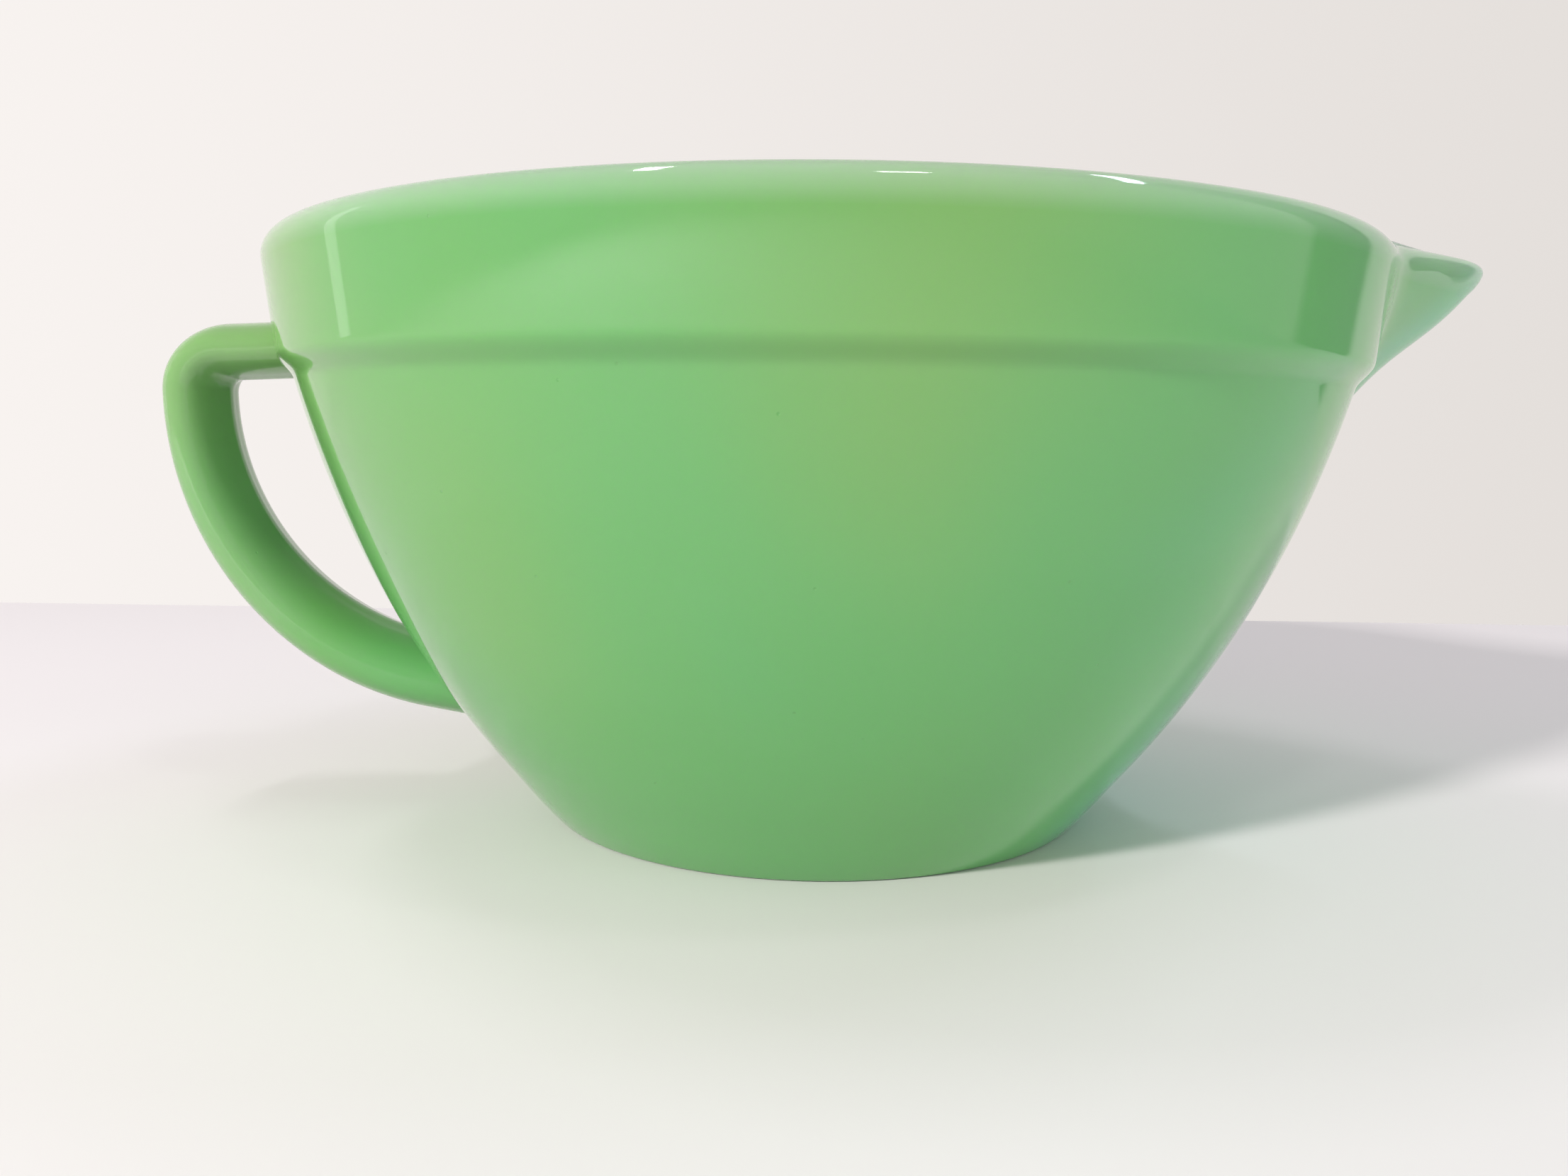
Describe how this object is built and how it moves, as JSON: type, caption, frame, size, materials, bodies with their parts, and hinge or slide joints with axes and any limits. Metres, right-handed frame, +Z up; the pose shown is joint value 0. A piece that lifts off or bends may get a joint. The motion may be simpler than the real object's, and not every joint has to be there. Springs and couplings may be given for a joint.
{
  "type": "mixing bowl",
  "caption": "Round pressed-glass batter bowl with a flared wall, stepped rim band, loop handle and V-shaped pouring spout, for mixing and pouring.",
  "frame": {"origin": "on the bowl's own axis at the surface it stands on, which is the bottom centre of its box to within 1 mm", "axes": "+Z up out of the mouth, +X towards the pouring spout's tip, -X towards the handle, Y across the bowl"},
  "size_m": [0.2385, 0.1896, 0.0992],
  "materials": {
    "jade_glass": "opaque milky jade-green pressed glass, fire-polished and glossy"
  },
  "bodies": {
    "root": {"foot_ring": "jade_glass", "bowl_floor": "jade_glass", "bowl_wall": "jade_glass", "rim_band": "jade_glass", "pour_spout": "jade_glass", "handle": "jade_glass"}
  },
  "joints": []
}
